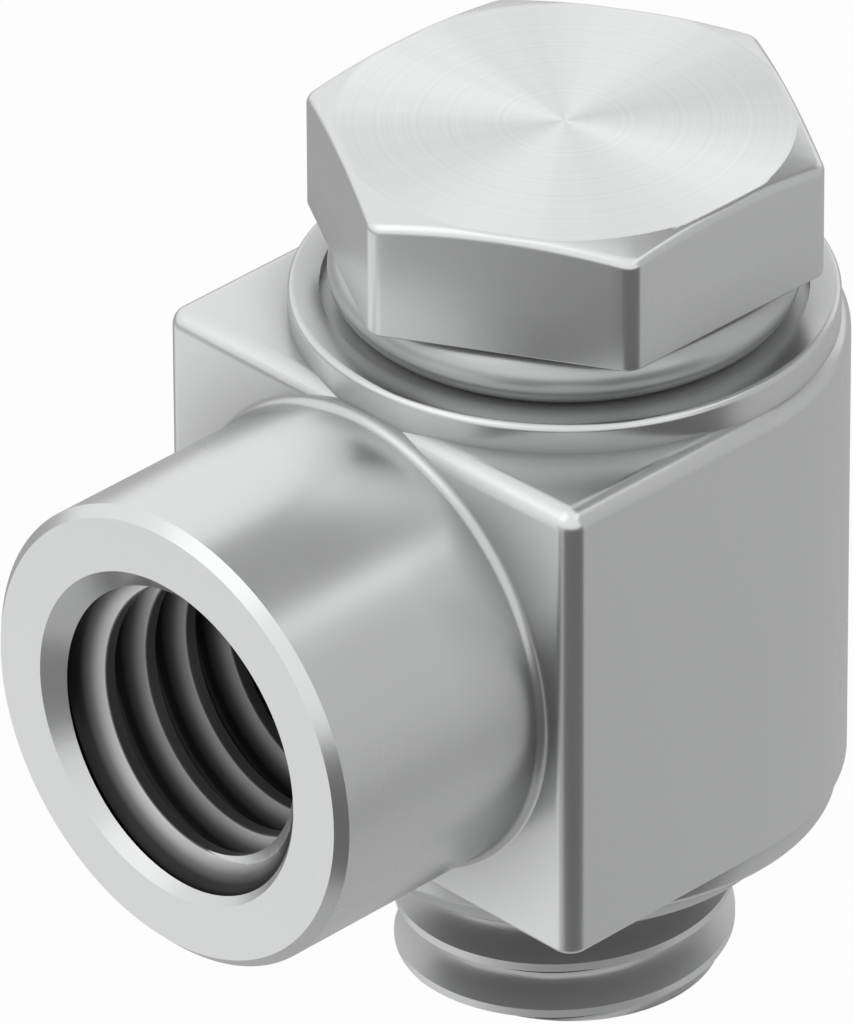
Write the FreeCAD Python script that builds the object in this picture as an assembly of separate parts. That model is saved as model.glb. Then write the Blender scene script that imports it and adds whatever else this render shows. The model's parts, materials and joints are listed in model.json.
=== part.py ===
import FreeCAD, Part
import math
import os

# Swivel banjo elbow with one male and one female screw thread, in millimetres.
# The frame's origin lies on the bolt axis in the plane of the body's lower collar, which is
# the plane that seats on the device. +Z runs up the bolt to its head, and the side port
# points along -Y. Both threads are left as plain walls at the thread's major diameter.

# Screw thread, the same on the bolt and in the port
thread_diameter = 5.0
thread_length = 3.07
thread_end_chamfer = 0.25

# Seal rings and the recesses that hold them
ring_section = 0.88
ring_bore_clearance = 0.02
ring_side_gap = 0.115
ring_seat_gap = 0.04
ring_recess_depth = 0.175

# Banjo body: a block with a rounded back, and a round collar above and below it
collar_wall = 0.455
collar_height = 0.45
collar_edge_radius = 0.1
collar_inset = 0.14
front_margin = 0.045
block_edge_radius = 0.24
block_lower_edge_radius = 0.08
bore_clearance = 0.05
chamber_depth = 0.4
chamber_height = 3.2

# Side port and the boss around it
boss_wall = 1.05
boss_margin = 0.15
boss_length = 3.985
boss_root_radius = 0.1
port_face_chamfer = 0.155
countersink_depth = 0.1
port_thread_depth = 4.45
passage_diameter = 3.0
drill_point_angle = 118.0

# Hollow bolt
head_across_flats = 6.69
head_height = 1.93
head_corner_radius = 0.3
head_crown_inset = 0.1
head_crown_angle = 14.5
head_edge_radius = 0.12
head_lower_edge_radius = 0.04
shank_relief = 0.16
thread_start_below_ring = 0.1
bolt_bore_diameter = 2.5
groove_wall = 0.7
cross_hole_diameter = 1.9
cross_hole_count = 4

# Sizes and heights worked out from the ones above
thread_radius = thread_diameter / 2
ring_inner_radius = thread_radius + ring_bore_clearance
ring_outer_radius = ring_inner_radius + ring_section
recess_radius = ring_outer_radius + ring_side_gap
collar_radius = recess_radius + collar_wall
body_half_width = collar_radius + collar_inset
body_front = collar_radius + front_margin
boss_radius = thread_radius + boss_wall
port_reach = body_front + boss_length
block_height = 2 * (boss_radius + boss_margin)
block_bottom = collar_height
block_top = block_bottom + block_height
body_top = block_top + collar_height
port_height = body_top / 2
upper_recess_floor = body_top - ring_recess_depth
head_bottom = upper_recess_floor + ring_seat_gap + ring_section
head_top = head_bottom + head_height
lower_ring_bottom = ring_recess_depth - ring_seat_gap - ring_section
thread_top = lower_ring_bottom - thread_start_below_ring
chamber_bottom = port_height - chamber_height / 2
chamber_top = port_height + chamber_height / 2

FULL_TURN = 360.0
HEX_SIDES = 6
# How far a cutting tool runs past the face that it breaks through, how near two places are
# to count as one, and how many steps along an edge are looked at
TOOL_OVERRUN = 1.0
SAME_PLACE = 1e-6
EDGE_STEPS = 6


def vector(x, y, z):
    return FreeCAD.Vector(x, y, z)


ORIGIN = vector(0, 0, 0)
Z_AXIS = vector(0, 0, 1)


def turned(profile):
    """Solid of revolution about the Z axis from a closed outline of (radius, height)."""
    points = [vector(radius, 0, height) for radius, height in profile]
    points.append(points[0])
    return Part.Face(Part.makePolygon(points)).revolve(ORIGIN, Z_AXIS, FULL_TURN)


def rod(radius, bottom, top):
    return Part.makeCylinder(radius, top - bottom, vector(0, 0, bottom), Z_AXIS)


def lay_on_port_axis(solid):
    """Turn a solid made along Z so that its +Z points out of the port."""
    laid = solid.copy()
    laid.rotate(ORIGIN, vector(1, 0, 0), 90)
    laid.translate(vector(0, 0, port_height))
    return laid


def drill_point_length(radius):
    return radius / math.tan(math.radians(drill_point_angle / 2))


def edges_where(solid, test):
    return [edge for edge in solid.Edges if test(edge)]


def lies_at_height(edge, height):
    box = edge.BoundBox
    return abs(box.ZMin - height) < SAME_PLACE and abs(box.ZMax - height) < SAME_PLACE


def is_upright(edge):
    box = edge.BoundBox
    return max(box.XLength, box.YLength) < SAME_PLACE < box.ZLength


def distance_from_port_axis(point):
    return math.hypot(point.x, point.z - port_height)


def lies_on_boss(edge):
    """True for an edge whose every point is one boss radius away from the port's axis."""
    span = edge.LastParameter - edge.FirstParameter
    points = [edge.valueAt(edge.FirstParameter + span * step / EDGE_STEPS) for step in range(EDGE_STEPS + 1)]
    return all(abs(distance_from_port_axis(point) - boss_radius) < SAME_PLACE for point in points)


def make_block():
    """The block: flat front and sides, and a half-round back about the bolt axis."""
    half = body_half_width
    front = -body_front
    outline = Part.Wire([
        Part.makeLine(vector(-half, 0, block_bottom), vector(-half, front, block_bottom)),
        Part.makeLine(vector(-half, front, block_bottom), vector(half, front, block_bottom)),
        Part.makeLine(vector(half, front, block_bottom), vector(half, 0, block_bottom)),
        Part.Arc(
            vector(half, 0, block_bottom), vector(0, half, block_bottom), vector(-half, 0, block_bottom)).toShape(),
    ])
    block = Part.Face(outline).extrude(vector(0, 0, block_height))
    corners = edges_where(block, lambda edge: is_upright(edge) and edge.BoundBox.YMin < front / 2)
    block = block.makeFillet(block_edge_radius, corners)
    top_edges = edges_where(block, lambda edge: lies_at_height(edge, block_top))
    block = block.makeFillet(block_edge_radius, top_edges)
    lower_edges = edges_where(block, lambda edge: lies_at_height(edge, block_bottom))
    return block.makeFillet(block_lower_edge_radius, lower_edges)


def make_collars():
    """One round core through the block, whose ends stand out as the two collars."""
    core = rod(collar_radius, 0, body_top)
    rims = edges_where(core, lambda edge: lies_at_height(edge, 0) or lies_at_height(edge, body_top))
    return core.makeFillet(collar_edge_radius, rims)


def make_boss():
    boss = rod(boss_radius, 0, port_reach)
    rim = edges_where(boss, lambda edge: lies_at_height(edge, port_reach))
    return lay_on_port_axis(boss.makeChamfer(port_face_chamfer, rim))


def is_boss_root(edge):
    return edge.BoundBox.YMin > -body_front - SAME_PLACE and lies_on_boss(edge)


def make_port_bore():
    """Countersink, threaded wall with its drill point, and the passage to the chamber."""
    passage_radius = passage_diameter / 2
    floor = port_reach - port_thread_depth
    point = floor - drill_point_length(thread_radius) + drill_point_length(passage_radius)
    return lay_on_port_axis(turned([
        (0, 0),
        (passage_radius, 0),
        (passage_radius, point),
        (thread_radius, floor),
        (thread_radius, port_reach - countersink_depth),
        (thread_radius + countersink_depth + TOOL_OVERRUN, port_reach + TOOL_OVERRUN),
        (0, port_reach + TOOL_OVERRUN),
    ]))


def make_bolt_bore():
    """Running bore for the bolt, a ring recess at each end and the chamber between them."""
    bore = rod(thread_radius + bore_clearance, -TOOL_OVERRUN, body_top + TOOL_OVERRUN)
    lower_recess = rod(recess_radius, -TOOL_OVERRUN, ring_recess_depth)
    upper_recess = rod(recess_radius, upper_recess_floor, body_top + TOOL_OVERRUN)
    chamber = rod(thread_radius + bore_clearance + chamber_depth, chamber_bottom, chamber_top)
    return bore.multiFuse([lower_recess, upper_recess, chamber])


def make_banjo_body():
    outside = make_block().fuse(make_boss())
    outside = outside.makeFillet(boss_root_radius, edges_where(outside, is_boss_root))
    return outside.fuse(make_collars()).cut(make_bolt_bore()).cut(make_port_bore())


def make_head():
    """Hexagon with a flat facing +X, a flat cone at its crown and rounded edges."""
    corner_distance = head_across_flats / 2 / math.cos(math.pi / HEX_SIDES)
    corners = []
    for index in range(HEX_SIDES + 1):
        angle = (index + 0.5) * 2 * math.pi / HEX_SIDES
        corners.append(vector(corner_distance * math.cos(angle), corner_distance * math.sin(angle), head_bottom))
    prism = Part.Face(Part.makePolygon(corners)).extrude(vector(0, 0, head_height))
    prism = prism.makeFillet(head_corner_radius, edges_where(prism, is_upright))
    crown_radius = head_across_flats / 2 - head_crown_inset
    crown_drop = (corner_distance - crown_radius) * math.tan(math.radians(head_crown_angle))
    crown = turned([
        (0, head_bottom),
        (corner_distance, head_bottom),
        (corner_distance, head_top - crown_drop),
        (crown_radius, head_top),
        (0, head_top),
    ])
    head = prism.common(crown)
    middle = (head_bottom + head_top) / 2
    crown_edges = edges_where(
        head,
        lambda edge: edge.BoundBox.ZMin > middle and not is_upright(edge) and not lies_at_height(edge, head_top))
    head = head.makeFillet(head_edge_radius, crown_edges)
    lower_edges = edges_where(head, lambda edge: lies_at_height(edge, head_bottom))
    return head.makeFillet(head_lower_edge_radius, lower_edges)


def make_shank():
    """Relieved shank with a groove at the port's height, then the thread's wall below the ring."""
    shank_radius = thread_radius - shank_relief
    groove_radius = bolt_bore_diameter / 2 + groove_wall
    end = -thread_length
    return turned([
        (0, end),
        (thread_radius - thread_end_chamfer, end),
        (thread_radius, end + thread_end_chamfer),
        (thread_radius, thread_top),
        (shank_radius, thread_top),
        (shank_radius, chamber_bottom),
        (groove_radius, chamber_bottom),
        (groove_radius, chamber_top),
        (shank_radius, chamber_top),
        (shank_radius, head_bottom),
        (0, head_bottom),
    ])


def make_hollow_bolt():
    bore_radius = bolt_bore_diameter / 2
    bore_start = -thread_length - TOOL_OVERRUN
    bore_end = port_height + cross_hole_diameter / 2
    bolt = make_head().fuse(make_shank())
    bolt = bolt.cut(turned([
        (0, bore_start),
        (bore_radius, bore_start),
        (bore_radius, bore_end),
        (0, bore_end + drill_point_length(bore_radius)),
    ]))
    cross_drill = lay_on_port_axis(rod(cross_hole_diameter / 2, -thread_radius, thread_radius))
    for index in range(cross_hole_count // 2):
        hole = cross_drill.copy()
        hole.rotate(ORIGIN, Z_AXIS, index * FULL_TURN / cross_hole_count)
        bolt = bolt.cut(hole)
    return bolt


def make_seal_ring(centre_height):
    middle_radius = (ring_inner_radius + ring_outer_radius) / 2
    return Part.makeTorus(middle_radius, ring_section / 2, vector(0, 0, centre_height), Z_AXIS)


def build():
    centre_above_floor = ring_seat_gap + ring_section / 2
    return {
        "banjo_body": make_banjo_body(),
        "hollow_bolt": make_hollow_bolt(),
        "upper_seal_ring": make_seal_ring(upper_recess_floor + centre_above_floor),
        "lower_seal_ring": make_seal_ring(ring_recess_depth - centre_above_floor),
    }


os.makedirs("parts", exist_ok=True)
for name, shape in build().items():
    shape.exportStep("parts/" + name + ".step")
    print(name, "volume", round(shape.Volume, 3), "solids", len(shape.Solids), "valid", shape.isValid())
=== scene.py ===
"""Looks of a small swivel elbow with a male and a female screw thread. Lengths are in metres."""
import json
import math

import bmesh
import bpy
from mathutils import Matrix, Vector


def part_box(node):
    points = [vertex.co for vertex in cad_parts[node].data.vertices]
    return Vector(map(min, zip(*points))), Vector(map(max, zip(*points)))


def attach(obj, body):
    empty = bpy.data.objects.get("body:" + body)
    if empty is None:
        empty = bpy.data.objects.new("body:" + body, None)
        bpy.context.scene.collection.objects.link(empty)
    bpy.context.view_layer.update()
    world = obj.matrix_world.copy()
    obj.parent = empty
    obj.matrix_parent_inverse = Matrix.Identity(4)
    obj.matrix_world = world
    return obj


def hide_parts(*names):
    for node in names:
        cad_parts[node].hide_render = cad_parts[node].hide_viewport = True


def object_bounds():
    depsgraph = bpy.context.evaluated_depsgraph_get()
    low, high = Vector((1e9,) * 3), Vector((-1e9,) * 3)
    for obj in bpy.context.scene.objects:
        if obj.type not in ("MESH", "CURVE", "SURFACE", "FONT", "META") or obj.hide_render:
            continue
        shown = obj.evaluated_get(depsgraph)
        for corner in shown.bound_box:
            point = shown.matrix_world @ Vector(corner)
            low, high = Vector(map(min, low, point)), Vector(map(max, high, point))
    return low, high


MM = 0.001

# How near two points are to count as one
SAME_PLACE = 2e-7

# Places and sizes taken from the frame
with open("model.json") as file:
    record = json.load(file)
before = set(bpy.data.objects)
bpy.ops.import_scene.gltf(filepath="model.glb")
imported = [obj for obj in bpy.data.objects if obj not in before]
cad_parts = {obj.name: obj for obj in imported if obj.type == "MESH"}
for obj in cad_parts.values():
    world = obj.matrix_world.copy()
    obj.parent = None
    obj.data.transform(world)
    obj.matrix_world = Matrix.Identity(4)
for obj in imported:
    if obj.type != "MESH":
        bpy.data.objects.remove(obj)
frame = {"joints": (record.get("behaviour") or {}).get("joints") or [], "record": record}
cad_low, cad_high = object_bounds()
body_low, body_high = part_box("banjo_body")
bolt_low, bolt_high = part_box("hollow_bolt")
MOUNTS = {mount["name"]: mount for mount in frame["record"]["mounts"]}
PORT_HEIGHT = frame["joints"][0]["pos_m"][2]
THREAD_RADIUS = MOUNTS["male_thread"]["dims"]["r_mm"] * MM

# Screw thread, the same on the bolt and in the port
PITCH = 0.8 * MM
MALE_CREST_WIDTH = 0.13 * MM
MALE_DEPTH = 0.48 * MM
MALE_TOP = 0.2 * MM
MALE_END_CHAMFER = 0.25 * MM
FEMALE_CREST_WIDTH = 0.165 * MM
FEMALE_DEPTH = 0.48 * MM
ROOT_ROUNDING = 1.7
THREAD_COLUMNS = 192
FLANK_STEPS = 7

# Banjo body
BODY_HALF_WIDTH = body_high[0]
BODY_FRONT = 4.015 * MM
BODY_TOP = body_high[2]
COLLAR_RADIUS = 3.97 * MM
COLLAR_HEIGHT = 0.45 * MM
COLLAR_EDGE_RADIUS = 0.1 * MM
BLOCK_EDGE_RADIUS = 0.3 * MM
BLOCK_LOWER_EDGE_RADIUS = 0.08 * MM
RECESS_RADIUS = 3.515 * MM
RECESS_DEPTH = 0.175 * MM
BORE_RADIUS = 2.55 * MM
CHAMBER_RADIUS = 2.95 * MM
CHAMBER_HEIGHT = 3.2 * MM

# Boss and port, measured outwards from the bolt axis. The round at the boss's root stops a few
# degrees short of the block's face, so that the two don't touch along a line.
BOSS_RADIUS = 3.55 * MM
BOSS_ROOT_RADIUS = 0.14 * MM
BOSS_ROOT_GAP_DEGREES = 4
BOSS_EDGE_CHAMFER = 0.155 * MM
PORT_REACH = -body_low[1]
MOUTH_RADIUS = 2.58 * MM
MOUTH_DEPTH = 0.08 * MM
PORT_DEPTH = 4.45 * MM
PASSAGE_RADIUS = 1.5 * MM
DRILL_SLOPE = 1 / math.tan(math.radians(59))

# Height and angle of one crest of each thread, which fix where its helix starts
MALE_CREST_HEIGHT = -1.83 * MM
MALE_CREST_ANGLE = math.radians(-45)
FEMALE_CREST_HEIGHT = PORT_REACH - 0.857 * MM
FEMALE_CREST_ANGLE = math.pi

# How far the port's thread lining laps into the body. The lining has the countersink's finish up
# to the groove's start, and on the cone where a face looks outwards by more than this share. A
# face of the body that looks along the port by the flat share or more is the port's flat face.
LINING_LAP = 0.003 * MM
GROOVE_START = 0.07 * MM
OUTWARD_SHARE = 0.6
FLAT_SHARE = 0.9

# Hollow bolt
HEX_SIDES = 6
HEAD_FLATS = 6.69 * MM
HEAD_TURN = math.radians(-0.65)
HEAD_BOTTOM = 9.045 * MM
HEAD_TOP = bolt_high[2]
HEAD_CORNER_RADIUS = 0.3 * MM
DISC_RADIUS = 3.311 * MM
CROWN_SLOPE = math.tan(math.radians(16.1))
HEAD_EDGE_RADIUS = 0.12 * MM
HEAD_LOWER_EDGE_RADIUS = 0.04 * MM
SHANK_RADIUS = 2.34 * MM
GROOVE_RADIUS = 1.95 * MM
BOLT_BORE_RADIUS = 1.25 * MM
CROSS_HOLE_RADIUS = 0.95 * MM
BORE_PAST_HOLES = 0.03 * MM

# How far a cutting tool runs past the face that it breaks through
TOOL_OVERRUN = 0.8 * MM

# Edges that turn by more than this are shaded sharp
SHARP_ANGLE = math.radians(28)

# How finely round forms are stepped
TURN_COLUMNS = 288
CORNER_STEPS = 12
SIDE_STEPS = 20
FILLET_STEPS = 10

# Seal rings
RING_COLUMNS = 192
RING_STEPS = 48

# Camera, from the fit to the photograph
CAMERA_AZIMUTH = math.radians(44.872)
CAMERA_ELEVATION = math.radians(32.032)
CAMERA_DISTANCE = 241.5 * MM
CAMERA_RISE = 0.2996 * MM
CAMERA_SIDESTEP = -0.029 * MM
FOCAL_PIXELS = 16732.5
CENTRE_X = 562.53
CENTRE_Y = 509.5
PHOTO_WIDTH = 853
PHOTO_HEIGHT = 1024
SENSOR = 36.0
NEAREST_SEEN = 1 * MM
FARTHEST_SEEN = 20

# Floor, and how bright the surroundings are for light that is not seen directly
FLOOR_DROP = 30 * MM
FLOOR_SIZE = 8
FLOOR_WHITE = 0.96
FLOOR_TONE = 0.7
FLOOR_ROUGHNESS = 0.9
WORLD_LEVEL = 0.6


def new_object(name, data):
    thing = bpy.data.objects.new(name, data)
    bpy.context.collection.objects.link(thing)
    return thing


# Materials


def new_group(name, inputs, outputs):
    group = bpy.data.node_groups.new(name, "ShaderNodeTree")
    for socket_name, socket_type, value in inputs:
        socket = group.interface.new_socket(socket_name, in_out="INPUT", socket_type=socket_type)
        if value is not None:
            socket.default_value = value
    for socket_name, socket_type in outputs:
        group.interface.new_socket(socket_name, in_out="OUTPUT", socket_type=socket_type)
    nodes = group.nodes
    return group, nodes.new("NodeGroupInput"), nodes.new("NodeGroupOutput")


def math_node(tree, operation, *values):
    node = tree.nodes.new("ShaderNodeMath")
    node.operation = operation
    for socket, value in zip(node.inputs, values):
        if isinstance(value, (int, float)):
            socket.default_value = value
        else:
            tree.links.new(value, socket)
    return node.outputs[0]


# Satin finish: its clouds, its grain, and how near another surface has to be to make a hollow with
# painted shade
CLOUD_SCALE = 420
CLOUD_DETAIL = 4
GRAIN_SCALE = 9000
GRAIN_DETAIL = 3
GRAIN_HEIGHT = 0.002 * MM
HOLLOW_REACH = 1.6 * MM
HOLLOW_SAMPLES = 8


def make_satin_and_shade_group():
    """Fine satin finish: cloudy tone, painted shade that darkens hollows, a soft change of
    roughness, a fine grain.
    """
    group, given, made = new_group(
        "satin finish and painted hollow shade",
        [("Vector", "NodeSocketVector", None), ("Tone", "NodeSocketColor", (0.7, 0.7, 0.7, 1)),
         ("Tone change", "NodeSocketFloat", 0.03), ("Hollow shade", "NodeSocketFloat", 1.5),
         ("Least light", "NodeSocketFloat", 0.0), ("Roughness", "NodeSocketFloat", 0.3),
         ("Roughness change", "NodeSocketFloat", 0.05), ("Grain", "NodeSocketFloat", 0.02)],
        [("Color", "NodeSocketColor"), ("Roughness", "NodeSocketFloat"),
         ("Normal", "NodeSocketVector")])
    nodes, links = group.nodes, group.links
    cloud = nodes.new("ShaderNodeTexNoise")
    cloud.inputs["Scale"].default_value = CLOUD_SCALE
    cloud.inputs["Detail"].default_value = CLOUD_DETAIL
    links.new(given.outputs["Vector"], cloud.inputs["Vector"])
    centred = math_node(group, "SUBTRACT", cloud.outputs["Fac"], 0.5)
    tone = math_node(group, "MULTIPLY", centred, given.outputs["Tone change"])
    hollow = nodes.new("ShaderNodeAmbientOcclusion")
    hollow.samples = HOLLOW_SAMPLES
    hollow.inputs["Distance"].default_value = HOLLOW_REACH
    # Painted shade: the tone darkens where other surfaces are near, by ambient occlusion
    openness = math_node(group, "POWER", hollow.outputs["AO"], given.outputs["Hollow shade"])
    closeness = math_node(group, "SUBTRACT", 1.0, openness)
    most_loss = math_node(group, "SUBTRACT", 1.0, given.outputs["Least light"])
    loss = math_node(group, "MULTIPLY", closeness, most_loss)
    light_left = math_node(group, "SUBTRACT", 1.0, loss)
    lighter = math_node(group, "MULTIPLY", math_node(group, "ADD", tone, 1.0), light_left)
    shade = nodes.new("ShaderNodeVectorMath")
    shade.operation = "SCALE"
    links.new(given.outputs["Tone"], shade.inputs[0])
    links.new(lighter, shade.inputs["Scale"])
    links.new(shade.outputs[0], made.inputs["Color"])
    rough = math_node(group, "MULTIPLY", centred, given.outputs["Roughness change"])
    links.new(math_node(group, "ADD", rough, given.outputs["Roughness"]), made.inputs["Roughness"])
    grain = nodes.new("ShaderNodeTexNoise")
    grain.inputs["Scale"].default_value = GRAIN_SCALE
    grain.inputs["Detail"].default_value = GRAIN_DETAIL
    links.new(given.outputs["Vector"], grain.inputs["Vector"])
    bump = nodes.new("ShaderNodeBump")
    bump.inputs["Distance"].default_value = GRAIN_HEIGHT
    links.new(given.outputs["Grain"], bump.inputs["Strength"])
    links.new(grain.outputs["Fac"], bump.inputs["Height"])
    links.new(bump.outputs["Normal"], made.inputs["Normal"])
    return group


SATIN_AND_HOLLOW_SHADE = make_satin_and_shade_group()

# Turned face of the head: its fine rings, and the painted sheen's four lobes and streaks about the
# centre
TURNING_LINES = 16000
TURNING_DETAIL = 2
TURNING_BUMP = 0.12
TURNING_HEIGHT = 0.004 * MM
TURNING_STRETCH = 0.7
SHEEN_LOBES = 4
SHEEN_STREAKS = 5
STREAK_DETAIL = 3
SHEEN_TURN = math.radians(15)
SHEEN_DEPTH = 0.075
SHEEN_LIFT = 0.06
RING_LINE_DEPTH = 0.12

# Bolt thread: how fast painted shade darkens its tone where it faces down
UNDERSIDE_SHADE_FALL = 3.0

# Port thread: its tone at the mouth, where painted shade darkens it, and how far in that fades to
# the full tone
MOUTH_SHADE_TONE = 0.42
MOUTH_SHADE_REACH = 1.1 * MM


def metal_parts(name, tone, metallic, roughness, grain, hollow_shade=1.0, least_light=0.0):
    """Satin metal with painted hollow shade, with the nodes of it that a special finish or painted
    shade changes.
    """
    material = bpy.data.materials.new(name)
    material.use_nodes = True
    tree = material.node_tree
    shader = tree.nodes["Principled BSDF"]
    shader.inputs["Metallic"].default_value = metallic
    finish = tree.nodes.new("ShaderNodeGroup")
    finish.node_tree = SATIN_AND_HOLLOW_SHADE
    finish.inputs["Tone"].default_value = (*tone, 1)
    finish.inputs["Roughness"].default_value = roughness
    finish.inputs["Grain"].default_value = grain
    finish.inputs["Hollow shade"].default_value = hollow_shade
    finish.inputs["Least light"].default_value = least_light
    place = tree.nodes.new("ShaderNodeTexCoord")
    tree.links.new(place.outputs["Object"], finish.inputs["Vector"])
    tree.links.new(finish.outputs["Color"], shader.inputs["Base Color"])
    tree.links.new(finish.outputs["Roughness"], shader.inputs["Roughness"])
    tree.links.new(finish.outputs["Normal"], shader.inputs["Normal"])
    return material, tree, shader, finish, place


def metal(name, tone, **finish):
    return metal_parts(name, tone, **finish)[0]


def scaled_tone(tree, finish, tone, factor):
    """Multiply a finish's tone, a colour or a socket, by a factor worked out in the material, such
    as painted shade or sheen.
    """
    shade = tree.nodes.new("ShaderNodeVectorMath")
    shade.operation = "SCALE"
    if isinstance(tone, tuple):
        shade.inputs[0].default_value = tone
    else:
        tree.links.new(tone, shade.inputs[0])
    tree.links.new(factor, shade.inputs["Scale"])
    tree.links.new(shade.outputs[0], finish.inputs["Tone"])


def ramp_node(tree, value, stops):
    """Grey ramp over a value, from a list of (place, grey)."""
    ramp = tree.nodes.new("ShaderNodeValToRGB")
    elements = ramp.color_ramp.elements
    while len(elements) < len(stops):
        elements.new(0.5)
    for element, (place, grey) in zip(elements, stops):
        element.position = place
        element.color = (grey, grey, grey, 1)
    tree.links.new(value, ramp.inputs["Fac"])
    return ramp.outputs["Color"]


def port_thread_shaded_metal(name, metallic, roughness, stops):
    """Metal of the port's thread with painted shade: its tone follows the distance from the port's
    axis and mouth, darker in the roots and at the mouth, with a painted highlight near each crest.
    """
    material, tree, _, finish, place = metal_parts(
        name, STEEL, metallic, roughness, FINE_GRAIN, hollow_shade=0.0)
    split = tree.nodes.new("ShaderNodeSeparateXYZ")
    tree.links.new(place.outputs["Object"], split.inputs[0])
    x, y, z = split.outputs
    rise = math_node(tree, "SUBTRACT", z, PORT_HEIGHT)
    squares = math_node(tree, "MULTIPLY_ADD", x, x, math_node(tree, "MULTIPLY", rise, rise))
    radius = math_node(tree, "SQRT", squares)
    # Painted shade in the roots and a painted highlight near each crest, from the thread's depth
    from_crest = math_node(tree, "SUBTRACT", radius, THREAD_RADIUS - FEMALE_DEPTH)
    share = math_node(tree, "DIVIDE", from_crest, FEMALE_DEPTH)
    # Painted shade near the mouth, fading to the full tone further in
    inwards = math_node(tree, "MULTIPLY_ADD", y, 1 / MOUTH_SHADE_REACH, PORT_REACH / MOUTH_SHADE_REACH)
    inwards.node.use_clamp = True
    fade = math_node(tree, "MULTIPLY_ADD", inwards, 1 - MOUTH_SHADE_TONE, MOUTH_SHADE_TONE)
    scaled_tone(tree, finish, ramp_node(tree, share, stops), fade)
    return material


def bolt_underside_shaded_metal(name, tone, metallic, roughness, grain):
    """Metal of the bolt's thread, with painted shade where it faces down under a crest."""
    material, tree, _, finish, place = metal_parts(
        name, tone, metallic, roughness, grain, hollow_shade=0.5, least_light=0.2)
    facing = tree.nodes.new("ShaderNodeSeparateXYZ")
    tree.links.new(place.outputs["Normal"], facing.inputs[0])
    # Painted shade: the tone falls where the surface faces down
    lit = math_node(tree, "MULTIPLY_ADD", facing.outputs["Z"], UNDERSIDE_SHADE_FALL, 1.0)
    lit.node.use_clamp = True
    scaled_tone(tree, finish, tone, lit)
    return material


def one_way_noise(tree, value, scale, detail):
    """Noise along one value, centred on zero."""
    noise = tree.nodes.new("ShaderNodeTexNoise")
    noise.noise_dimensions = "1D"
    noise.inputs["Scale"].default_value = scale
    noise.inputs["Detail"].default_value = detail
    tree.links.new(value, noise.inputs["W"])
    return math_node(tree, "SUBTRACT", noise.outputs["Fac"], 0.5)


def turned_face_sheen_metal(name, tone, metallic, roughness, grain):
    """Metal with the rings that a turning tool leaves about the bolt's axis, and their sheen:
    anisotropic reflection and a sheen painted into the tone.
    """
    material, tree, shader, finish, place = metal_parts(name, tone, metallic, roughness, grain)
    nodes, links = tree.nodes, tree.links
    split = nodes.new("ShaderNodeSeparateXYZ")
    links.new(place.outputs["Object"], split.inputs[0])
    x, y = split.outputs["X"], split.outputs["Y"]
    squares = math_node(tree, "MULTIPLY_ADD", x, x, math_node(tree, "MULTIPLY", y, y))
    radius = math_node(tree, "SQRT", squares)
    angle = math_node(tree, "ARCTAN2", y, x)
    rings = one_way_noise(tree, radius, TURNING_LINES, TURNING_DETAIL)
    streaks = one_way_noise(tree, angle, SHEEN_STREAKS, STREAK_DETAIL)
    # Painted sheen: lobes and streaks about the axis lighten and darken the tone
    turned_angle = math_node(tree, "SUBTRACT", angle, SHEEN_TURN)
    lobes = math_node(tree, "COSINE", math_node(tree, "MULTIPLY", turned_angle, SHEEN_LOBES))
    sheen = math_node(tree, "MULTIPLY_ADD", lobes, SHEEN_DEPTH, 1 + SHEEN_LIFT)
    sheen = math_node(tree, "MULTIPLY_ADD", streaks, SHEEN_DEPTH, sheen)
    sheen = math_node(tree, "MULTIPLY_ADD", rings, RING_LINE_DEPTH, sheen)
    scaled_tone(tree, finish, tone, sheen)
    bump = nodes.new("ShaderNodeBump")
    bump.inputs["Strength"].default_value = TURNING_BUMP
    bump.inputs["Distance"].default_value = TURNING_HEIGHT
    links.new(rings, bump.inputs["Height"])
    links.new(finish.outputs["Normal"], bump.inputs["Normal"])
    links.new(bump.outputs["Normal"], shader.inputs["Normal"])
    tangent = nodes.new("ShaderNodeTangent")
    tangent.direction_type = "RADIAL"
    tangent.axis = "Z"
    links.new(tangent.outputs["Tangent"], shader.inputs["Tangent"])
    shader.inputs["Anisotropic"].default_value = TURNING_STRETCH
    return material


STEEL = (0.745, 0.755, 0.752)
RING_STEEL = (0.6, 0.61, 0.608)
GRAIN = 0.1
FINE_GRAIN = 0.05

# Each metal's hollow_shade and least_light set how much painted hollow shade darkens it
BODY_METAL = metal("satin body metal", STEEL, metallic=0.93, roughness=0.28, grain=GRAIN,
                   hollow_shade=1.3, least_light=0.3)
# Strong painted hollow shade darkens the head's underside above the ring
HEAD_METAL = metal("satin head metal", STEEL, metallic=0.93, roughness=0.28, grain=GRAIN,
                   hollow_shade=1.6)
# Painted light: a less metallic, less shaded copy of the body metal makes the recess round the bolt
# brighter
RECESS_LIGHTENED_METAL = metal("recess metal with painted light", STEEL, metallic=0.45, roughness=0.4, grain=GRAIN,
                     hollow_shade=0.2, least_light=0.7)
MOUTH_METAL = metal("satin mouth metal", STEEL, metallic=0.72, roughness=0.3, grain=GRAIN,
                    hollow_shade=0.3, least_light=0.5)
RING_METAL = metal("satin ring metal", RING_STEEL, metallic=0.6, roughness=0.3, grain=GRAIN,
                   hollow_shade=0.4, least_light=0.6)
# Painted shade and highlight: tone against the share of the way from a crest, at 0, to a root, at 1
PORT_THREAD_SHADED_METAL = port_thread_shaded_metal("port thread metal with painted shade", 0.6, 0.34, [
    (0.0, 0.2), (0.03, 0.2), (0.06, 1.0), (0.25, 0.8), (0.5, 0.28), (0.75, 0.04), (1.0, 0.01)])
BOLT_SHADED_METAL = bolt_underside_shaded_metal("satin bolt metal with painted underside shade", STEEL, 0.5, 0.32, GRAIN)
TURNED_SHEEN_METAL = turned_face_sheen_metal("turned head metal with painted sheen", STEEL, 0.9, 0.3, FINE_GRAIN)


# Meshes


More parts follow.
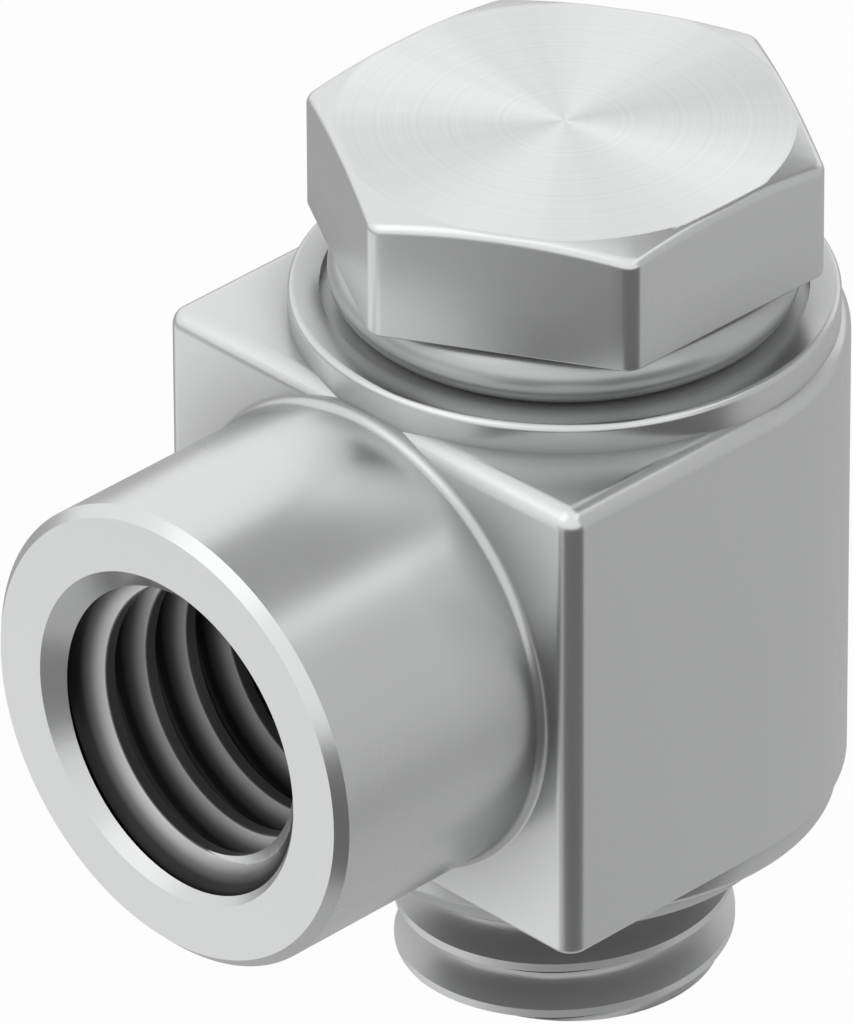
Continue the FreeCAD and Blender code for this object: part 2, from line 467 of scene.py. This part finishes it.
def mesh_object(name, builder):
    """Closed mesh object with merged points and outward faces."""
    bmesh.ops.remove_doubles(builder, verts=builder.verts, dist=SAME_PLACE)
    bmesh.ops.dissolve_degenerate(builder, edges=builder.edges, dist=SAME_PLACE)
    bmesh.ops.recalc_face_normals(builder, faces=builder.faces)
    mesh = bpy.data.meshes.new(name)
    builder.to_mesh(mesh)
    builder.free()
    return new_object(name, mesh)


def bake(piece):
    """Apply a piece's modifiers to its mesh."""
    depsgraph = bpy.context.evaluated_depsgraph_get()
    finished = bpy.data.meshes.new_from_object(piece.evaluated_get(depsgraph))
    piece.modifiers.clear()
    piece.data = finished


def combine(piece, tool, operation):
    """Add a tool solid to a piece or cut it away, and remove the tool."""
    change = piece.modifiers.new(operation.lower(), "BOOLEAN")
    change.operation = operation
    change.solver = "EXACT"
    change.object = tool
    bake(piece)
    bpy.data.objects.remove(tool)


def finish_piece(piece, body, materials, replaced=(), sharp_edge=None):
    """Shade a piece smooth with flat faces kept flat, and hand it to the frame."""
    mesh = piece.data
    mesh.shade_smooth()
    mesh.set_sharp_from_angle(angle=SHARP_ANGLE)
    if sharp_edge:
        sharp = mesh.attributes["sharp_edge"].data
        for edge in mesh.edges:
            if all(sharp_edge(mesh.vertices[index].co) for index in edge.vertices):
                sharp[edge.index].value = True
    weighted = piece.modifiers.new("flat faces lead", "WEIGHTED_NORMAL")
    weighted.keep_sharp = True
    bake(piece)
    mesh = piece.data
    indices = [face.material_index for face in mesh.polygons]
    mesh.materials.clear()
    for material in materials:
        mesh.materials.append(material)
    mesh.polygons.foreach_set("material_index", indices)
    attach(piece, body)
    if replaced:
        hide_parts(*replaced)


def join_loops(builder, loops, closed_ring=False):
    """Skin a list of vertex loops with quads, or with triangles where a loop is one point."""
    faces = []
    pairs = list(zip(loops, loops[1:]))
    if closed_ring:
        pairs.append((loops[-1], loops[0]))
    for low, high in pairs:
        count = max(len(low), len(high))
        for index in range(count):
            after = (index + 1) % count
            if len(low) == 1:
                corners = (low[0], high[after], high[index])
            elif len(high) == 1:
                corners = (low[index], low[after], high[0])
            else:
                corners = (low[index], low[after], high[after], high[index])
            faces.append(builder.faces.new(corners))
    return faces


def circle(builder, radius, height, columns):
    if radius == 0:
        return [builder.verts.new((0, 0, height))]
    angles = [2 * math.pi * index / columns for index in range(columns)]
    return [builder.verts.new((radius * math.cos(a), radius * math.sin(a), height)) for a in angles]


def arc(radius, height, size, start, end, steps=FILLET_STEPS):
    """Points of a round of that size about (radius, height), between two angles in degrees."""
    angles = [math.radians(start + (end - start) * step / steps) for step in range(steps + 1)]
    return [(radius + size * math.cos(a), height + size * math.sin(a)) for a in angles]


def turned(name, profile, columns=TURN_COLUMNS):
    """Solid of revolution about Z from an outline of (radius, height)."""
    builder = bmesh.new()
    loops = [circle(builder, radius, height, columns) for radius, height in profile]
    on_axis = profile[0][0] == 0 and profile[-1][0] == 0
    join_loops(builder, loops, closed_ring=not on_axis)
    return mesh_object(name, builder)


def lay_on_port_axis(piece):
    """Turn a mesh made along +Z so that its +Z points out of the port."""
    turn = Matrix.Rotation(math.radians(90), 4, "X")
    piece.data.transform(Matrix.Translation((0, 0, PORT_HEIGHT)) @ turn)
    return piece


def block_outline():
    """Points and outward normals round the block: rounded front corners and a half-round back."""
    outline = []
    inner_x = BODY_HALF_WIDTH - BLOCK_EDGE_RADIUS
    inner_y = -BODY_FRONT + BLOCK_EDGE_RADIUS
    for centre_x, start in ((-inner_x, 180), (inner_x, 270)):
        for step in range(CORNER_STEPS + 1):
            angle = math.radians(start + 90 * step / CORNER_STEPS)
            normal = Vector((math.cos(angle), math.sin(angle)))
            outline.append((Vector((centre_x, inner_y)) + BLOCK_EDGE_RADIUS * normal, normal))
    back_steps = TURN_COLUMNS // 2
    for step in range(back_steps + 1):
        angle = math.pi * step / back_steps
        normal = Vector((math.cos(angle), math.sin(angle)))
        outline.append((BODY_HALF_WIDTH * normal, normal))
    return outline


def make_block():
    low = COLLAR_HEIGHT
    high = BODY_TOP - COLLAR_HEIGHT
    builder = bmesh.new()
    outline = block_outline()
    edges = arc(0, low + BLOCK_LOWER_EDGE_RADIUS, BLOCK_LOWER_EDGE_RADIUS, -90, 0)
    levels = [(BLOCK_LOWER_EDGE_RADIUS - out, height) for out, height in edges]
    edges = arc(0, high - BLOCK_EDGE_RADIUS, BLOCK_EDGE_RADIUS, 0, 90)
    levels += [(BLOCK_EDGE_RADIUS - out, height) for out, height in edges]
    loops = []
    for inset, height in levels:
        points = [point - normal * inset for point, normal in outline]
        loops.append([builder.verts.new((p.x, p.y, height)) for p in points])
    join_loops(builder, loops)
    builder.faces.new(loops[0])
    builder.faces.new(loops[-1])
    return mesh_object("satin_body", builder)


def make_collars():
    edge = COLLAR_EDGE_RADIUS
    lower = arc(COLLAR_RADIUS - edge, edge, edge, -90, 0)
    upper = arc(COLLAR_RADIUS - edge, BODY_TOP - edge, edge, 0, 90)
    return turned("collars", [(0, 0), *lower, *upper, (0, BODY_TOP)])


def make_boss():
    """Boss with a round where it leaves the block and a chamfer round its face."""
    size = BOSS_ROOT_RADIUS
    root = arc(BOSS_RADIUS + size, BODY_FRONT + size, size, -90 - BOSS_ROOT_GAP_DEGREES, -180)
    buried = BODY_FRONT - size
    return lay_on_port_axis(turned("boss", [
        (0, buried), (root[0][0], buried), *root,
        (BOSS_RADIUS, PORT_REACH - BOSS_EDGE_CHAMFER),
        (BOSS_RADIUS - BOSS_EDGE_CHAMFER, PORT_REACH), (0, PORT_REACH)]))


def make_bolt_bore():
    above = BODY_TOP + TOOL_OVERRUN
    below = -TOOL_OVERRUN
    chamber_low = PORT_HEIGHT - CHAMBER_HEIGHT / 2
    chamber_high = PORT_HEIGHT + CHAMBER_HEIGHT / 2
    return turned("bolt bore", [
        (0, below), (RECESS_RADIUS, below), (RECESS_RADIUS, RECESS_DEPTH),
        (BORE_RADIUS, RECESS_DEPTH), (BORE_RADIUS, chamber_low), (CHAMBER_RADIUS, chamber_low),
        (CHAMBER_RADIUS, chamber_high), (BORE_RADIUS, chamber_high),
        (BORE_RADIUS, BODY_TOP - RECESS_DEPTH), (RECESS_RADIUS, BODY_TOP - RECESS_DEPTH),
        (RECESS_RADIUS, above), (0, above)])


def make_port_bore():
    floor = PORT_REACH - PORT_DEPTH
    point = floor - (THREAD_RADIUS - PASSAGE_RADIUS) * DRILL_SLOPE
    return lay_on_port_axis(turned("port bore", [
        (0, 0), (PASSAGE_RADIUS, 0), (PASSAGE_RADIUS, point), (THREAD_RADIUS, floor),
        (THREAD_RADIUS, PORT_REACH - MOUTH_DEPTH),
        (MOUTH_RADIUS + TOOL_OVERRUN, PORT_REACH + TOOL_OVERRUN), (0, PORT_REACH + TOOL_OVERRUN)]))


BODY_FINISH, RECESS_LIGHTENED, MOUTH_FINISH = range(3)


def make_body():
    """Block, collars and boss in one, with the bolt's bore and the port cut through."""
    body = make_block()
    combine(body, make_collars(), "UNION")
    combine(body, make_boss(), "UNION")
    combine(body, make_bolt_bore(), "DIFFERENCE")
    combine(body, make_port_bore(), "DIFFERENCE")
    for face in body.data.polygons:
        centre = face.center
        past_end = abs(centre.z - BODY_TOP / 2) - BODY_TOP / 2 + RECESS_DEPTH
        from_port_axis = math.hypot(centre.x, centre.z - PORT_HEIGHT)
        slanted = abs(face.normal.y) < FLAT_SHARE
        # Faces in the recesses take the lightened metal, which is painted light
        if centre.xy.length < RECESS_RADIUS + LINING_LAP and past_end > -LINING_LAP:
            face.material_index = RECESS_LIGHTENED
        elif centre.y < MOUTH_DEPTH - PORT_REACH and slanted and from_port_axis < MOUTH_RADIUS:
            face.material_index = MOUTH_FINISH
        else:
            face.material_index = BODY_FINISH
    finishes = [BODY_METAL, RECESS_LIGHTENED_METAL, MOUTH_METAL]
    finish_piece(body, "banjo", finishes, ["banjo_body"])


def hexagon_outline():
    """Points and outward normals round a hexagon with rounded corners."""
    half = HEAD_FLATS / 2
    side_turn = 2 * math.pi / HEX_SIDES
    centre_distance = (half - HEAD_CORNER_RADIUS) / math.cos(side_turn / 2)
    outline = []
    for side in range(HEX_SIDES):
        facing = HEAD_TURN + side * 2 * math.pi / HEX_SIDES
        aim = facing + side_turn / 2
        corner = centre_distance * Vector((math.cos(aim), math.sin(aim)))
        next_corner = Matrix.Rotation(side_turn, 2) @ corner
        for step in range(CORNER_STEPS + 1):
            angle = facing + side_turn * step / CORNER_STEPS
            normal = Vector((math.cos(angle), math.sin(angle)))
            outline.append((corner + HEAD_CORNER_RADIUS * normal, normal))
        for step in range(1, SIDE_STEPS):
            centre = corner.lerp(next_corner, step / SIDE_STEPS)
            outline.append((centre + HEAD_CORNER_RADIUS * normal, normal))
    return outline


def crown_height(point):
    return HEAD_TOP - max(0.0, point.length - DISC_RADIUS) * CROWN_SLOPE


def make_head():
    """Hexagon with a flat turned disc on top and a shallow cone beyond it at the corners."""
    builder = bmesh.new()
    outline = hexagon_outline()
    loops = []
    edge = HEAD_LOWER_EDGE_RADIUS
    for out, height in arc(-edge, HEAD_BOTTOM + edge, edge, -90, 0):
        points = [point + normal * out for point, normal in outline]
        loops.append([builder.verts.new((p.x, p.y, height)) for p in points])
    edge = HEAD_EDGE_RADIUS
    for out, drop in arc(-edge, -edge, edge, 0, 90):
        points = [point + normal * out for point, normal in outline]
        loops.append([builder.verts.new((p.x, p.y, crown_height(p) + drop)) for p in points])
    disc_edge = [p * min(1.0, DISC_RADIUS / p.length) for p in points]
    loops.append([builder.verts.new((p.x, p.y, HEAD_TOP)) for p in disc_edge])
    join_loops(builder, loops)
    builder.faces.new(loops[0])
    disc = builder.faces.new(loops[-1])
    disc.material_index = 1
    head = mesh_object("hexagon_head", builder)

    def on_disc_edge(point):
        return abs(point.z - HEAD_TOP) < SAME_PLACE and point.xy.length > DISC_RADIUS - SAME_PLACE

    finish_piece(head, "bolt", [HEAD_METAL, TURNED_SHEEN_METAL], ["hollow_bolt"],
                 sharp_edge=on_disc_edge)


def make_shank():
    """Shank with the groove and the cross holes that feed the port."""
    groove_low = PORT_HEIGHT - CHAMBER_HEIGHT / 2
    groove_high = PORT_HEIGHT + CHAMBER_HEIGHT / 2
    bore_end = PORT_HEIGHT + CROSS_HOLE_RADIUS + BORE_PAST_HOLES
    shank = turned("bolt_shank", [
        (0, bore_end + BOLT_BORE_RADIUS * DRILL_SLOPE), (BOLT_BORE_RADIUS, bore_end),
        (BOLT_BORE_RADIUS, MALE_TOP), (SHANK_RADIUS, MALE_TOP), (SHANK_RADIUS, groove_low),
        (GROOVE_RADIUS, groove_low), (GROOVE_RADIUS, groove_high), (SHANK_RADIUS, groove_high),
        (SHANK_RADIUS, HEAD_BOTTOM), (0, HEAD_BOTTOM)])
    for turn in (0, 90):
        drill = lay_on_port_axis(turned("cross drill", [
            (0, -SHANK_RADIUS), (CROSS_HOLE_RADIUS, -SHANK_RADIUS),
            (CROSS_HOLE_RADIUS, SHANK_RADIUS), (0, SHANK_RADIUS)], THREAD_COLUMNS))
        drill.data.transform(Matrix.Rotation(math.radians(turn), 4, "Z"))
        combine(shank, drill, "DIFFERENCE")
    finish_piece(shank, "bolt", [BOLT_SHADED_METAL], ["hollow_bolt"])


def flank_share(along, crest_width):
    """Share of the thread's depth at a place along one pitch, which starts in the rounded root."""
    along = along % PITCH
    flank = (PITCH - crest_width) / 2
    return min(min(along, PITCH - along) / flank, 1.0) ** ROOT_ROUNDING


def thread_places(crest_width):
    """Places along one pitch where the thread's outline has a point."""
    flank = (PITCH - crest_width) / 2
    rise = [flank * step / FLANK_STEPS for step in range(FLANK_STEPS + 1)]
    return rise + [PITCH - place for place in reversed(rise[1:])]


def thread_skin(builder, low, high, crest_height, crest_angle, crest_width, radius_at):
    """Skin whose rows follow a right-hand helix and stop at the two end planes.

    One crest passes through crest_height at crest_angle. radius_at(share, height) is the skin's
    radius where the thread has that share of its depth. Returns the rims at the two ends.
    """
    phase = crest_height - PITCH / 2 - PITCH * crest_angle / (2 * math.pi)
    places = thread_places(crest_width)
    turns = range(math.floor((low - phase) / PITCH) - 2, math.ceil((high - phase) / PITCH) + 2)
    rows = [phase + turn * PITCH + place for turn in turns for place in places]
    loops = []
    for row in rows:
        loop = []
        for column in range(THREAD_COLUMNS):
            lead = PITCH * column / THREAD_COLUMNS
            height = min(max(row + lead, low), high)
            radius = radius_at(flank_share(height - lead - phase, crest_width), height)
            angle = 2 * math.pi * column / THREAD_COLUMNS
            x, y = radius * math.cos(angle), radius * math.sin(angle)
            loop.append(builder.verts.new((x, y, height)))
        loops.append(loop)
    per_turn = len(places)
    for index in range(len(rows) - 1):
        for column in range(THREAD_COLUMNS - 1):
            lower, upper = loops[index], loops[index + 1]
            builder.faces.new((lower[column], lower[column + 1], upper[column + 1], upper[column]))
    for index in range(len(rows) - 1 - per_turn):
        first, last = index + per_turn, index
        builder.faces.new((
            loops[last][-1], loops[first][0], loops[first + 1][0], loops[last + 1][-1]))
    return loops[0], loops[-1]


def make_male_thread():
    """Male thread with a chamfered end, and the bolt's bore through it."""
    low = bolt_low[2]

    def radius_at(share, height):
        return THREAD_RADIUS - MALE_DEPTH * (1 - share)

    builder = bmesh.new()
    bottom, top = thread_skin(
        builder, low, MALE_TOP, MALE_CREST_HEIGHT, MALE_CREST_ANGLE, MALE_CREST_WIDTH, radius_at)
    bore = [circle(builder, BOLT_BORE_RADIUS, height, THREAD_COLUMNS) for height in (low, MALE_TOP)]
    join_loops(builder, [bottom, bore[0], bore[1], top])
    thread = mesh_object("male_thread", builder)
    cone_low = THREAD_RADIUS - MALE_END_CHAMFER - TOOL_OVERRUN
    outside = THREAD_RADIUS + TOOL_OVERRUN
    combine(thread, turned("chamfer tool", [
        (cone_low, low - TOOL_OVERRUN), (outside, low - TOOL_OVERRUN),
        (outside, low + MALE_END_CHAMFER + TOOL_OVERRUN)], THREAD_COLUMNS), "DIFFERENCE")
    finish_piece(thread, "bolt", [BOLT_SHADED_METAL], ["hollow_bolt"])


def make_female_thread():
    """Lining of the port: the thread, cut through the countersink's cone at the mouth."""
    wall = THREAD_RADIUS + LINING_LAP
    root = THREAD_RADIUS - LINING_LAP
    high = PORT_REACH - MOUTH_DEPTH
    low = PORT_REACH - PORT_DEPTH + LINING_LAP

    def radius_at(share, height):
        return root - (root - THREAD_RADIUS + FEMALE_DEPTH) * share

    builder = bmesh.new()
    bottom, top = thread_skin(
        builder, low, high, FEMALE_CREST_HEIGHT, FEMALE_CREST_ANGLE, FEMALE_CREST_WIDTH, radius_at)
    outside = [circle(builder, wall, height, THREAD_COLUMNS) for height in (high, low)]
    join_loops(builder, [top, *outside, bottom])
    lining = mesh_object("female_thread", builder)
    combine(lining, turned("countersink tool", [
        (0, PORT_REACH - MOUTH_RADIUS), (MOUTH_RADIUS + TOOL_OVERRUN, PORT_REACH + TOOL_OVERRUN),
        (0, PORT_REACH + TOOL_OVERRUN)], THREAD_COLUMNS), "DIFFERENCE")
    for face in lining.data.polygons:
        centre = face.center
        on_cone = abs(centre.xy.length + PORT_REACH - centre.z - MOUTH_RADIUS) < LINING_LAP
        at_mouth = centre.z > high - GROOVE_START
        face.material_index = 0 if at_mouth or on_cone and face.normal.z > OUTWARD_SHARE else 1
    lay_on_port_axis(lining)
    finish_piece(lining, "banjo", [MOUTH_METAL, PORT_THREAD_SHADED_METAL])


def make_ring(node, name):
    """Round-section seal ring in the place of its CAD node."""
    low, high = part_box(node)
    section = (high[2] - low[2]) / 2
    middle = high[0] - section
    outline = arc(middle, (high[2] + low[2]) / 2, section, 0, 360, RING_STEPS)[:-1]
    ring = turned(name, outline, RING_COLUMNS)
    finish_piece(ring, "bolt", [RING_METAL], [node])


make_body()
make_head()
make_shank()
make_male_thread()
make_female_thread()
make_ring("upper_seal_ring", "upper_round_ring")
make_ring("lower_seal_ring", "lower_round_ring")


# Stage, lights and camera

MIDDLE = Vector((0, 0, PORT_HEIGHT))


def make_floor():
    """Pale floor that the camera sees as nearly white, with the object's shadow kept."""
    bpy.ops.mesh.primitive_plane_add(size=FLOOR_SIZE, location=(0, 0, cad_low[2] - FLOOR_DROP))
    floor = bpy.context.object
    floor.name = "floor"
    material = bpy.data.materials.new("pale floor")
    material.use_nodes = True
    tree = material.node_tree
    shader = tree.nodes["Principled BSDF"]
    shader.inputs["Base Color"].default_value = (FLOOR_TONE, FLOOR_TONE, FLOOR_TONE, 1)
    shader.inputs["Roughness"].default_value = FLOOR_ROUGHNESS
    white = tree.nodes.new("ShaderNodeEmission")
    path = tree.nodes.new("ShaderNodeLightPath")
    share = math_node(tree, "MULTIPLY", path.outputs["Is Camera Ray"], FLOOR_WHITE)
    mix = tree.nodes.new("ShaderNodeMixShader")
    tree.links.new(share, mix.inputs["Fac"])
    tree.links.new(shader.outputs[0], mix.inputs[1])
    tree.links.new(white.outputs[0], mix.inputs[2])
    tree.links.new(mix.outputs[0], tree.nodes["Material Output"].inputs["Surface"])
    floor.data.materials.append(material)


def stand_off(thing, target, azimuth, elevation, distance):
    """Place a camera, a lamp or a card off from a target, facing it. Azimuth 0 is along -Y."""
    flat = math.cos(elevation)
    towards = Vector((math.sin(azimuth) * flat, -math.cos(azimuth) * flat, math.sin(elevation)))
    thing.location = target + towards * distance
    thing.rotation_mode = "QUATERNION"
    thing.rotation_quaternion = towards.to_track_quat("Z", "Y")


def make_card(name, azimuth, elevation, distance, width, height, tone):
    """Studio card that only reflections show. It faces the object from that side, in degrees."""
    builder = bmesh.new()
    bmesh.ops.create_grid(builder, x_segments=1, y_segments=1, size=0.5)
    mesh = bpy.data.meshes.new(name)
    builder.to_mesh(mesh)
    builder.free()
    card = new_object(name, mesh)
    stand_off(card, MIDDLE, math.radians(azimuth), math.radians(elevation), distance)
    card.scale = (width, height, 1)
    card.visible_camera = False
    card.visible_diffuse = False
    card.visible_shadow = False
    material = bpy.data.materials.new(name)
    material.use_nodes = True
    tree = material.node_tree
    glow = tree.nodes.new("ShaderNodeEmission")
    glow.inputs["Color"].default_value = (tone, tone, tone, 1)
    tree.links.new(glow.outputs[0], tree.nodes["Material Output"].inputs["Surface"])
    mesh.materials.append(material)


def make_world():
    world = bpy.data.worlds.new("studio")
    world.use_nodes = True
    bpy.context.scene.world = world
    tree = world.node_tree
    background = tree.nodes["Background"]
    background.inputs["Color"].default_value = (1, 1, 1, 1)
    path = tree.nodes.new("ShaderNodeLightPath")
    seen = math_node(tree, "MAXIMUM", path.outputs["Is Camera Ray"], path.outputs["Is Glossy Ray"])
    seen = math_node(tree, "MAXIMUM", seen, path.outputs["Is Transmission Ray"])
    strength = math_node(tree, "MULTIPLY_ADD", seen, 1 - WORLD_LEVEL, WORLD_LEVEL)
    tree.links.new(strength, background.inputs["Strength"])


def make_lamp(name, azimuth, elevation, distance, size, power, gloss):
    light = bpy.data.lights.new(name, "AREA")
    light.size = size
    light.energy = power
    light.specular_factor = gloss
    lamp = new_object(name, light)
    stand_off(lamp, MIDDLE, math.radians(azimuth), math.radians(elevation), distance)


def make_camera():
    camera_data = bpy.data.cameras.new("camera")
    camera = new_object("camera", camera_data)
    to_the_right = Vector((math.cos(CAMERA_AZIMUTH), math.sin(CAMERA_AZIMUTH), 0))
    target = Vector((0, 0, PORT_HEIGHT + CAMERA_RISE)) + to_the_right * CAMERA_SIDESTEP
    stand_off(camera, target, CAMERA_AZIMUTH, CAMERA_ELEVATION, CAMERA_DISTANCE)
    camera_data.sensor_width = SENSOR
    camera_data.sensor_fit = "AUTO"
    camera_data.lens = FOCAL_PIXELS * SENSOR / PHOTO_HEIGHT
    camera_data.shift_x = (PHOTO_WIDTH / 2 - CENTRE_X) / PHOTO_HEIGHT
    camera_data.shift_y = (CENTRE_Y - PHOTO_HEIGHT / 2) / PHOTO_HEIGHT
    camera_data.clip_start = NEAREST_SEEN
    camera_data.clip_end = FARTHEST_SEEN
    bpy.context.scene.camera = camera


make_floor()
make_world()
make_card("dark card", azimuth=64, elevation=-24, distance=36 * MM,
          width=72 * MM, height=34 * MM, tone=0.11)
make_card("bright card", azimuth=-45, elevation=-32, distance=36 * MM,
          width=40 * MM, height=24 * MM, tone=0.9)
make_card("side card", azimuth=136, elevation=14, distance=60 * MM,
          width=90 * MM, height=78 * MM, tone=0.55)
make_card("overhead card", azimuth=178, elevation=55, distance=50 * MM,
          width=38 * MM, height=30 * MM, tone=0.25)
make_card("left card", azimuth=262, elevation=-16, distance=40 * MM,
          width=30 * MM, height=26 * MM, tone=0.4)
make_lamp("key", azimuth=-20, elevation=50, distance=0.5, size=0.4, power=0.2, gloss=0.08)
make_lamp("fill", azimuth=120, elevation=40, distance=0.5, size=0.4, power=0.12, gloss=0.1)
make_camera()
bpy.context.scene.view_settings.view_transform = "Standard"
